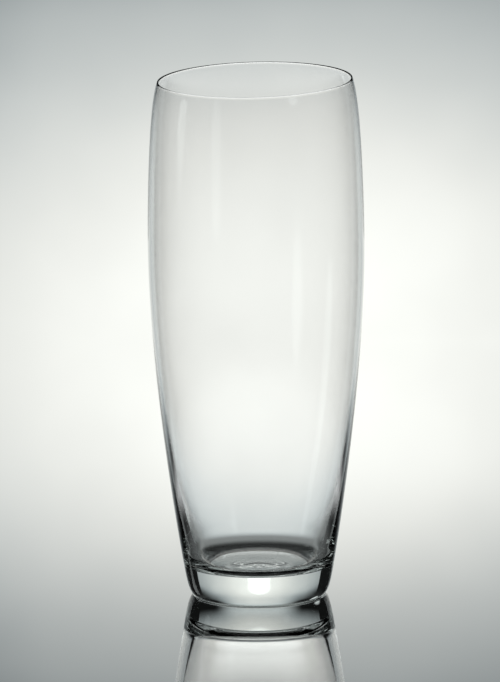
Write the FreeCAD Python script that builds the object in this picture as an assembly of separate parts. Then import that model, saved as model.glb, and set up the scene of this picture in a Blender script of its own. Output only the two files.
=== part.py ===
import FreeCAD, Part
import math
import os

# A heavy-based, barrel-shaped glass vase with no moving parts, in millimetres.
# The origin is the centre of the ring that it stands on, and +Z is up its axis.
# The glass is one continuous body on the real object. Here it is cut across by level planes
# into its base, its wall in three rings, its shoulder and its rim, which touch face to face.

# Driving dimensions, as radius and height on the turned outline.
HEIGHT = 300.0
CONTACT_R = 37.0          # outer edge of the flat ring that touches the table
CONTACT_WIDTH = 3.0       # width of that flat ring
KICK_UP = 2.0             # rise of the underside at its centre
HEEL_TOP_R = 42.2         # where the rounded heel becomes the straight taper
HEEL_TOP_Z = 12.0
BELLY_R = 62.1            # the widest place
BELLY_Z = 205.0
RIM_CENTRE_R = 55.5       # centre of the fire-polished bead
RIM_RADIUS = 0.5
RIM_LEAN_DEG = 20.0       # how far the wall leans in where it meets the bead

BELLY_WALL = 1.9          # glass thickness at the widest place
CORNER_R = 38.3           # where the inner wall starts to turn into the floor
CORNER_Z = 30.0
BEND_R = 33.4             # where that turn is steepest
BEND_Z = 19.2
FLOOR_R = 27.0            # edge of the flat cavity floor
FLOOR_Z = 16.5

BASE_TOP_Z = 32.0         # the level cuts, from the base up to the rim
LOWER_TOP_Z = 110.0
MIDDLE_TOP_Z = 180.0
UPPER_TOP_Z = 245.0
RIM_BOTTOM_Z = 295.0


def point(radius, height):
    return FreeCAD.Vector(radius, 0, height)


def toward(start, lean_deg, length):
    """The point at a length from start, up the wall, leaning inward by an angle."""
    lean = math.radians(lean_deg)
    return start + point(-math.sin(lean) * length, math.cos(lean) * length)


def bezier(*points):
    curve = Part.BezierCurve()
    curve.setPoles(list(points))
    return curve.toShape()


def line(start, end):
    return Part.LineSegment(start, end).toShape()


def arc(start, middle, end):
    return Part.Arc(start, middle, end).toShape()


def rim_point(angle_deg):
    """A point on the rim's bead, by its angle from straight outward."""
    angle = math.radians(angle_deg)
    radius = RIM_CENTRE_R + RIM_RADIUS * math.cos(angle)
    return point(radius, HEIGHT - RIM_RADIUS + RIM_RADIUS * math.sin(angle))


def outline():
    """The half section of the glass, from the centre of the underside round to the axis again."""
    under_centre = point(0, KICK_UP)
    contact_in = point(CONTACT_R - CONTACT_WIDTH, 0)
    contact_out = point(CONTACT_R, 0)
    heel_top = point(HEEL_TOP_R, HEEL_TOP_Z)
    belly = point(BELLY_R, BELLY_Z)
    rim_out = rim_point(RIM_LEAN_DEG)
    rim_in = rim_point(RIM_LEAN_DEG + 180)
    belly_in = point(BELLY_R - BELLY_WALL, BELLY_Z)
    corner = point(CORNER_R, CORNER_Z)
    bend = point(BEND_R, BEND_Z)
    floor_edge = point(FLOOR_R, FLOOR_Z)
    floor = point(0, FLOOR_Z)
    return Part.Wire([
        bezier(under_centre, point(20, KICK_UP), contact_in + point(-3, 0.2), contact_in),
        line(contact_in, contact_out),
        bezier(contact_out, contact_out + point(2.3, 0.2), toward(heel_top, -10.5, -7), heel_top),
        bezier(heel_top, toward(heel_top, -10.5, 22), belly + point(0, -73), belly),
        bezier(belly, belly + point(0, 20), toward(rim_out, RIM_LEAN_DEG, -15), rim_out),
        arc(rim_out, rim_point(RIM_LEAN_DEG + 90), rim_in),
        bezier(rim_in, toward(rim_in, RIM_LEAN_DEG, -15), belly_in + point(0, 20), belly_in),
        bezier(belly_in, belly_in + point(0, -73), toward(corner, -16, 34), corner),
        bezier(corner, toward(corner, -16, -5.5), toward(bend, -50, 4), bend),
        bezier(bend, toward(bend, -50, -2), floor_edge + point(2.5, 0), floor_edge),
        line(floor_edge, floor),
        line(floor, under_centre),
    ])


def glass():
    return Part.Face(outline()).revolve(FreeCAD.Vector(0, 0, 0), FreeCAD.Vector(0, 0, 1), 360)


def slab(bottom, top):
    """A wide disc that holds one level of the vase."""
    return Part.makeCylinder(BELLY_R + 10, top - bottom, FreeCAD.Vector(0, 0, bottom))


def export(name, shape):
    solid = shape.Solids[0]
    solid.exportStep("parts/" + name + ".step")
    box = solid.BoundBox
    print(name, solid.isValid(), round(solid.Volume), "mm3", round(box.ZMin, 2), round(box.ZMax, 2))


def main():
    os.makedirs("parts", exist_ok=True)
    whole = glass()
    levels = {
        "solid_base": (-1.0, BASE_TOP_Z),
        "lower_wall": (BASE_TOP_Z, LOWER_TOP_Z),
        "middle_wall": (LOWER_TOP_Z, MIDDLE_TOP_Z),
        "upper_wall": (MIDDLE_TOP_Z, UPPER_TOP_Z),
        "shoulder": (UPPER_TOP_Z, RIM_BOTTOM_Z),
        "rim": (RIM_BOTTOM_Z, HEIGHT + 1.0),
    }
    for name, (bottom, top) in levels.items():
        export(name, whole.common(slab(bottom, top)))


main()
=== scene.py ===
import math

import bpy
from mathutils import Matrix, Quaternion, Vector


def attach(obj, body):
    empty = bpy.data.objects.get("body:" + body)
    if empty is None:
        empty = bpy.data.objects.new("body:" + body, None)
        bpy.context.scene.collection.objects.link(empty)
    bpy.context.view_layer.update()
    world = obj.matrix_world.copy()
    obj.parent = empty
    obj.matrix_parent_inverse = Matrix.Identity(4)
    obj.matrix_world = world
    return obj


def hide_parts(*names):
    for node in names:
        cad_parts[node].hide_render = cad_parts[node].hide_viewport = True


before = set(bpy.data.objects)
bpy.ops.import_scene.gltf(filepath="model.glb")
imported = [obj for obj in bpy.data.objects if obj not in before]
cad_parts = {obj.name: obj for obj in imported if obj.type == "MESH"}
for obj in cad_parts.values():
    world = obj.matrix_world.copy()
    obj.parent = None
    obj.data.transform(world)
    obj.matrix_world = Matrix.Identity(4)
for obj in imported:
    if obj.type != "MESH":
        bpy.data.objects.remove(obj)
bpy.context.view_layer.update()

# The turned outline, in millimetres, as in the design: radius and height.
MM = 0.001
HEIGHT = 300.0
CONTACT_R = 37.0
CONTACT_WIDTH = 3.0
KICK_UP = 2.0
HEEL_TOP_R = 42.2
HEEL_TOP_Z = 12.0
BELLY_R = 62.1
BELLY_Z = 205.0
RIM_CENTRE_R = 55.5
RIM_RADIUS = 0.5
RIM_LEAN_DEG = 20.0
BELLY_WALL = 1.9
CORNER_R = 38.3
CORNER_Z = 30.0
BEND_R = 33.4
BEND_Z = 19.2
FLOOR_R = 27.0
FLOOR_Z = 16.5

RIPPLE_DEPTH = 0.09       # rings on the raised underside
RIPPLE_PITCH = 7.0
WAVE_DEPTH = 0.22         # unevenness of the raised underside
WAVE_LOBES = 3            # coarse and fine waves round the axis
WAVE_FINE_LOBES = 7
RIM_TILT = 0.018          # rise per unit across: how far out of level the rim was finished
TILT_FROM_Z = 200.0

AROUND = 224              # facets round the axis
FILM_ROUGHNESS = 0.02     # the faint film left by handling, at its strongest
SAME_POINT = 0.001        # where one part of the outline meets the next

GLASS_IOR = 1.5
GLASS_TINT = (0.80, 0.90, 0.86, 1)
GLASS_ABSORPTION = 4.0

# The studio, in metres and degrees.
FLOOR_HALF = 20.0
FLOOR_COLOUR = (0.8, 0.81, 0.81, 1)
PANEL_Y = 0.72
PANEL_HALF_WIDTH = 0.66
PANEL_TOP = 0.32
PANEL_MIDDLE_X = 0.015
PANEL_DIM_TINT = (0.89, 0.99, 1.01, 1)
PANEL_BRIGHT_TINT = (0.985, 1.0, 0.955, 1)
OVERHEAD_SIZE = 2.5
OVERHEAD_Z = 2.5
OVERHEAD_WATTS = 60
WORLD_TINT = (0.93, 1.0, 0.99, 1)
DARK_LEVEL = 0.008
WINDOW_EDGE = 7.0
WINDOW_CORE = 4.0
# Azimuth, elevation and brightness of each window. Each one serves a single fixed view, in order
# 45,25, 90,3, 225,15 and 0,3. From most other angles the surroundings are almost black.
VIEW_WINDOWS = ((-45.0, 25.0, 0.85), (-90.0, 3.0, 0.85), (135.0, 15.0, 0.85), (0.0, 2.0, 0.35))

CAMERA_DISTANCE = 9.0
CAMERA_ELEVATION = 11.5
CAMERA_ROLL = 0.5
CAMERA_AIM = (-0.0040, 0, 0.1475)
VIEW_TALL = 0.391         # height of the picture at the vase
SENSOR = 36
LIGHT_BOUNCES = 24
GLOSSY_BOUNCES = 12


def at(radius, height):
    return Vector((radius, height))


def toward(start, lean_deg, length):
    lean = math.radians(lean_deg)
    return start + at(-math.sin(lean) * length, math.cos(lean) * length)


def bezier(count, start, handle_a, handle_b, end):
    points = []
    for step in range(count):
        t = step / (count - 1)
        s = 1 - t
        points.append(start * s ** 3 + handle_a * 3 * s * s * t + handle_b * 3 * s * t * t + end * t ** 3)
    return points


def rim_point(angle_deg):
    angle = math.radians(angle_deg)
    radius = RIM_CENTRE_R + RIM_RADIUS * math.cos(angle)
    return at(radius, HEIGHT - RIM_RADIUS + RIM_RADIUS * math.sin(angle))


def outline():
    under = at(0, KICK_UP)
    contact_in = at(CONTACT_R - CONTACT_WIDTH, 0)
    contact_out = at(CONTACT_R, 0)
    heel_top = at(HEEL_TOP_R, HEEL_TOP_Z)
    belly = at(BELLY_R, BELLY_Z)
    rim_out = rim_point(RIM_LEAN_DEG)
    rim_in = rim_point(RIM_LEAN_DEG + 180)
    belly_in = at(BELLY_R - BELLY_WALL, BELLY_Z)
    corner = at(CORNER_R, CORNER_Z)
    bend = at(BEND_R, BEND_Z)
    floor_edge = at(FLOOR_R, FLOOR_Z)
    parts = [
        bezier(64, under, at(20, KICK_UP), contact_in + at(-3, 0.2), contact_in),
        [contact_in, contact_out],
        bezier(20, contact_out, contact_out + at(2.3, 0.2), toward(heel_top, -10.5, -7), heel_top),
        bezier(60, heel_top, toward(heel_top, -10.5, 22), belly + at(0, -73), belly),
        bezier(36, belly, belly + at(0, 20), toward(rim_out, RIM_LEAN_DEG, -15), rim_out),
        [rim_point(RIM_LEAN_DEG + step * 10) for step in range(19)],
        bezier(36, rim_in, toward(rim_in, RIM_LEAN_DEG, -15), belly_in + at(0, 20), belly_in),
        bezier(60, belly_in, belly_in + at(0, -73), toward(corner, -16, 34), corner),
        bezier(24, corner, toward(corner, -16, -5.5), toward(bend, -50, 4), bend),
        bezier(16, bend, toward(bend, -50, -2), floor_edge + at(2.5, 0), floor_edge),
        bezier(12, floor_edge, at(14, FLOOR_Z), at(7, FLOOR_Z), at(0, FLOOR_Z)),
    ]
    points = []
    for part in parts:
        for p in part:
            if not points or (p - points[-1]).length > SAME_POINT:
                points.append(p)
    return points


def handmade(radius, height, angle):
    """A point of the turned surface in metres, with the small faults of hand-finished glass."""
    x = radius * math.cos(angle)
    y = radius * math.sin(angle)
    z = height
    inside = radius / (CONTACT_R - CONTACT_WIDTH)
    if height <= KICK_UP and inside < 1:
        ring = inside * inside * (1 - inside ** 6)
        waves = 1.5 + math.sin(WAVE_LOBES * angle + 0.6) + 0.6 * math.sin(WAVE_FINE_LOBES * angle)
        z += WAVE_DEPTH * ring * waves
        z += RIPPLE_DEPTH * math.sin(math.pi * inside) * math.cos(2 * math.pi * radius / RIPPLE_PITCH)
    if height > TILT_FROM_Z:
        share = (height - TILT_FROM_Z) / (HEIGHT - TILT_FROM_Z)
        z += RIM_TILT * x * share * share
    return (x * MM, y * MM, z * MM)


def turned(name, points):
    """A closed surface turned about Z from points that start and end on the axis."""
    verts = []
    faces = []
    for p in points[1:-1]:
        for i in range(AROUND):
            a = 2 * math.pi * i / AROUND
            verts.append(handmade(p.x, p.y, a))
    rings = len(points) - 2
    for k in range(rings - 1):
        for i in range(AROUND):
            j = (i + 1) % AROUND
            faces.append((k * AROUND + i, k * AROUND + j, (k + 1) * AROUND + j, (k + 1) * AROUND + i))
    start = len(verts)
    verts.append((0, 0, points[0].y * MM))
    verts.append((0, 0, points[-1].y * MM))
    last = (rings - 1) * AROUND
    for i in range(AROUND):
        j = (i + 1) % AROUND
        faces.append((start, j, i))
        faces.append((start + 1, last + i, last + j))
    mesh = bpy.data.meshes.new(name)
    mesh.from_pydata(verts, [], faces)
    mesh.polygons.foreach_set("use_smooth", [True] * len(mesh.polygons))
    mesh.update()
    obj = bpy.data.objects.new(name, mesh)
    bpy.context.scene.collection.objects.link(obj)
    return obj


def glass_material():
    """Clear glass, faintly green-grey where thick, with a patchy film that dulls its polish slightly."""
    mat = bpy.data.materials.new("clear_glass")
    mat.use_nodes = True
    nodes, links = mat.node_tree.nodes, mat.node_tree.links
    shader = nodes["Principled BSDF"]
    shader.inputs["Base Color"].default_value = (1, 1, 1, 1)
    shader.inputs["IOR"].default_value = GLASS_IOR
    shader.inputs["Transmission Weight"].default_value = 1.0
    coord = nodes.new("ShaderNodeTexCoord")
    film = nodes.new("ShaderNodeTexNoise")
    film.inputs["Scale"].default_value = 24.0
    film.inputs["Detail"].default_value = 4.0
    links.new(coord.outputs["Object"], film.inputs["Vector"])
    rough = smooth(nodes, links, film.outputs["Fac"], 0.45, 0.75, 0.0, FILM_ROUGHNESS)
    links.new(rough, shader.inputs["Roughness"])
    absorb = nodes.new("ShaderNodeVolumeAbsorption")
    absorb.inputs["Color"].default_value = GLASS_TINT
    absorb.inputs["Density"].default_value = GLASS_ABSORPTION
    links.new(absorb.outputs["Volume"], nodes["Material Output"].inputs["Volume"])
    return mat


def make_vase():
    vase = turned("glass_vase", outline())
    vase.data.materials.append(glass_material())
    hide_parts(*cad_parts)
    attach(vase, "root")
    return vase


def math_node(nodes, links, op, a, b=None, clamp=False):
    node = nodes.new("ShaderNodeMath")
    node.operation = op
    node.use_clamp = clamp
    for socket, value in zip(node.inputs, (a, b)):
        if value is None:
            continue
        if isinstance(value, bpy.types.NodeSocket):
            links.new(value, socket)
        else:
            socket.default_value = value
    return node.outputs[0]


def smooth(nodes, links, value, low, high, out_low=0.0, out_high=1.0):
    node = nodes.new("ShaderNodeMapRange")
    node.interpolation_type = "SMOOTHSTEP"
    links.new(value, node.inputs["Value"])
    node.inputs["From Min"].default_value = low
    node.inputs["From Max"].default_value = high
    node.inputs["To Min"].default_value = out_low
    node.inputs["To Max"].default_value = out_high
    return node.outputs["Result"]


def stage_plane(name, corners, material):
    mesh = bpy.data.meshes.new(name)
    mesh.from_pydata(corners, [], [(0, 1, 2, 3)])
    mesh.materials.append(material)
    plane = bpy.data.objects.new(name, mesh)
    bpy.context.scene.collection.objects.link(plane)
    return plane


def floor_material():
    """Pale and matt from above, a mirror at a low angle, with its reflection darkened towards the front
    as painted shade.

    Close round the vase it is never matt: a mirror at a low angle, and almost black from above.
    """
    mat = bpy.data.materials.new("pale_gloss_floor")
    mat.use_nodes = True
    nodes, links = mat.node_tree.nodes, mat.node_tree.links
    nodes.clear()
    out = nodes.new("ShaderNodeOutputMaterial")
    diffuse = nodes.new("ShaderNodeBsdfDiffuse")
    diffuse.inputs["Color"].default_value = FLOOR_COLOUR
    glossy = nodes.new("ShaderNodeBsdfGlossy")
    glossy.inputs["Roughness"].default_value = 0.0
    weight = nodes.new("ShaderNodeLayerWeight")
    weight.inputs["Blend"].default_value = 0.5
    grazing = smooth(nodes, links, weight.outputs["Facing"], 0.58, 0.66)
    coord = nodes.new("ShaderNodeTexCoord")
    reach = nodes.new("ShaderNodeVectorMath")
    reach.operation = "LENGTH"
    links.new(coord.outputs["Object"], reach.inputs[0])
    near = smooth(nodes, links, reach.outputs["Value"], 0.10, 0.17, 1.0, 0.0)
    share = math_node(nodes, links, "MAXIMUM", grazing, near)
    gloss = smooth(nodes, links, weight.outputs["Facing"], 0.30, 0.47, 0.04, 1.0)
    place = nodes.new("ShaderNodeSeparateXYZ")
    links.new(coord.outputs["Object"], place.inputs[0])
    # Painted shade: the floor's reflection gets darker towards the front (negative Y).
    painted_front_shade = smooth(nodes, links, place.outputs["Y"], -0.28, 0.40, 0.72, 1.0)
    gloss = math_node(nodes, links, "MULTIPLY", gloss, painted_front_shade)
    links.new(gloss, glossy.inputs["Color"])
    mix = nodes.new("ShaderNodeMixShader")
    links.new(share, mix.inputs[0])
    links.new(diffuse.outputs[0], mix.inputs[1])
    links.new(glossy.outputs[0], mix.inputs[2])
    links.new(mix.outputs[0], out.inputs["Surface"])
    return mat


def panel_material():
    """A glowing scrim, brightest low down near its middle, that only shines forward."""
    mat = bpy.data.materials.new("light_panel")
    mat.use_nodes = True
    nodes, links = mat.node_tree.nodes, mat.node_tree.links
    nodes.clear()
    out = nodes.new("ShaderNodeOutputMaterial")
    coord = nodes.new("ShaderNodeTexCoord")
    split = nodes.new("ShaderNodeSeparateXYZ")
    links.new(coord.outputs["Object"], split.inputs[0])
    x = math_node(nodes, links, "SUBTRACT", split.outputs["X"], PANEL_MIDDLE_X)
    x = math_node(nodes, links, "ABSOLUTE", x)
    height = split.outputs["Z"]
    low = smooth(nodes, links, height, 0.03, 0.27, 0.57, 0.0)
    high = smooth(nodes, links, height, 0.20, 0.32, 0.45, 0.0)
    hot = smooth(nodes, links, x, 0.0, 0.30, 0.21, 0.0)
    wide = smooth(nodes, links, x, 0.0, 0.65, 0.80, 0.42)
    level = math_node(nodes, links, "ADD", low, high)
    across = math_node(nodes, links, "ADD", hot, wide)
    level = math_node(nodes, links, "MULTIPLY", level, across)
    out_x = smooth(nodes, links, x, 0.13, 0.36)
    out_h = smooth(nodes, links, height, 0.10, 0.26)
    corner = math_node(nodes, links, "MULTIPLY", out_x, out_h)
    level = math_node(nodes, links, "MULTIPLY", level, math_node(nodes, links, "SUBTRACT", 1.0, corner))
    cloud = nodes.new("ShaderNodeTexNoise")
    cloud.inputs["Scale"].default_value = 7.0
    cloud.inputs["Detail"].default_value = 3.0
    links.new(coord.outputs["Object"], cloud.inputs["Vector"])
    mottle = smooth(nodes, links, cloud.outputs["Fac"], 0.3, 0.7, 0.97, 1.04)
    level = math_node(nodes, links, "MULTIPLY", level, mottle)
    facing = nodes.new("ShaderNodeNewGeometry")
    front = math_node(nodes, links, "SUBTRACT", 1.0, facing.outputs["Backfacing"])
    level = math_node(nodes, links, "MULTIPLY", level, front)
    glow = nodes.new("ShaderNodeEmission")
    tint = nodes.new("ShaderNodeMix")
    tint.data_type = "RGBA"
    tint.clamp_factor = True
    colours = [socket for socket in tint.inputs if socket.type == "RGBA"]
    colours[0].default_value = PANEL_DIM_TINT
    colours[1].default_value = PANEL_BRIGHT_TINT
    links.new(smooth(nodes, links, level, 0.2, 0.9), tint.inputs["Factor"])
    tinted = [socket for socket in tint.outputs if socket.type == "RGBA"][0]
    links.new(tinted, glow.inputs["Color"])
    links.new(level, glow.inputs["Strength"])
    clear = nodes.new("ShaderNodeBsdfTransparent")
    both = nodes.new("ShaderNodeAddShader")
    links.new(glow.outputs[0], both.inputs[0])
    links.new(clear.outputs[0], both.inputs[1])
    links.new(both.outputs[0], out.inputs["Surface"])
    return mat


def make_stage():
    half = FLOOR_HALF
    floor = [(-half, -half, 0), (half, -half, 0), (half, half, 0), (-half, half, 0)]
    stage_plane("floor", floor, floor_material())
    y = PANEL_Y
    side = PANEL_HALF_WIDTH
    top = PANEL_TOP
    scrim = [(-side, y, 0), (side, y, 0), (side, y, top), (-side, y, top)]
    stage_plane("panel", scrim, panel_material())


def make_overhead():
    data = bpy.data.lights.new("overhead", "AREA")
    data.shape = "DISK"
    data.size = OVERHEAD_SIZE
    data.energy = OVERHEAD_WATTS
    light = bpy.data.objects.new("overhead", data)
    light.location = (0, 0, OVERHEAD_Z)
    light.visible_glossy = False
    light.visible_transmission = False
    bpy.context.scene.collection.objects.link(light)


def view_window(nodes, links, direction, azimuth, elevation, level):
    """A small soft glow that makes the floor or background pale from one fixed angle only."""
    around = math.radians(azimuth)
    up = math.radians(elevation)
    dot = nodes.new("ShaderNodeVectorMath")
    dot.operation = "DOT_PRODUCT"
    links.new(direction, dot.inputs[0])
    dot.inputs[1].default_value = (
        math.sin(around) * math.cos(up), math.cos(around) * math.cos(up), math.sin(up)
    )
    edge = math.cos(math.radians(WINDOW_EDGE))
    core = math.cos(math.radians(WINDOW_CORE))
    return smooth(nodes, links, dot.outputs["Value"], edge, core, 0.0, level)


def make_world():
    """Almost black all round, with a glow ahead, a dim sky and the four view windows."""
    world = bpy.data.worlds.new("studio")
    bpy.context.scene.world = world
    world.use_nodes = True
    nodes, links = world.node_tree.nodes, world.node_tree.links
    back = nodes["Background"]
    coord = nodes.new("ShaderNodeTexCoord")
    split = nodes.new("ShaderNodeSeparateXYZ")
    links.new(coord.outputs["Generated"], split.inputs[0])
    turn = math_node(nodes, links, "ARCTAN2", split.outputs["X"], split.outputs["Y"])
    turn = math_node(nodes, links, "ABSOLUTE", turn)
    up = math_node(nodes, links, "ABSOLUTE", split.outputs["Z"])
    deg = math.radians
    sin = math.sin
    ahead = smooth(nodes, links, turn, deg(12), deg(28), 1.0, 0.0)
    rise = smooth(nodes, links, up, sin(deg(12)), sin(deg(20)))
    fall = smooth(nodes, links, up, sin(deg(18)), sin(deg(42)), 0.34, 0.25)
    glow = math_node(nodes, links, "MULTIPLY", rise, fall)
    glow = math_node(nodes, links, "MULTIPLY", glow, ahead)
    sky = smooth(nodes, links, up, sin(deg(22)), sin(deg(50)), 0.0, 0.30)
    glow = math_node(nodes, links, "MAXIMUM", glow, sky)
    level = math_node(nodes, links, "MAXIMUM", glow, DARK_LEVEL)
    for azimuth, elevation, strength in VIEW_WINDOWS:
        window = view_window(nodes, links, coord.outputs["Generated"], azimuth, elevation, strength)
        level = math_node(nodes, links, "MAXIMUM", level, window)
    links.new(level, back.inputs["Strength"])
    back.inputs["Color"].default_value = WORLD_TINT


def make_camera():
    data = bpy.data.cameras.new("camera")
    camera = bpy.data.objects.new("camera", data)
    bpy.context.scene.collection.objects.link(camera)
    bpy.context.scene.camera = camera
    elevation = math.radians(CAMERA_ELEVATION)
    roll = math.radians(CAMERA_ROLL)
    data.lens = SENSOR * CAMERA_DISTANCE / VIEW_TALL
    data.clip_end = 60
    aim = Vector(CAMERA_AIM)
    back = Vector((0, -math.cos(elevation), math.sin(elevation)))
    camera.location = aim + back * CAMERA_DISTANCE
    camera.rotation_mode = "QUATERNION"
    look = (-back).to_track_quat("-Z", "Y")
    camera.rotation_quaternion = Quaternion(back, -roll) @ look


def main():
    make_vase()
    make_stage()
    make_overhead()
    make_world()
    make_camera()
    scene = bpy.context.scene
    scene.view_settings.view_transform = "Standard"
    scene.cycles.max_bounces = LIGHT_BOUNCES
    scene.cycles.transmission_bounces = LIGHT_BOUNCES
    scene.cycles.glossy_bounces = GLOSSY_BOUNCES


main()
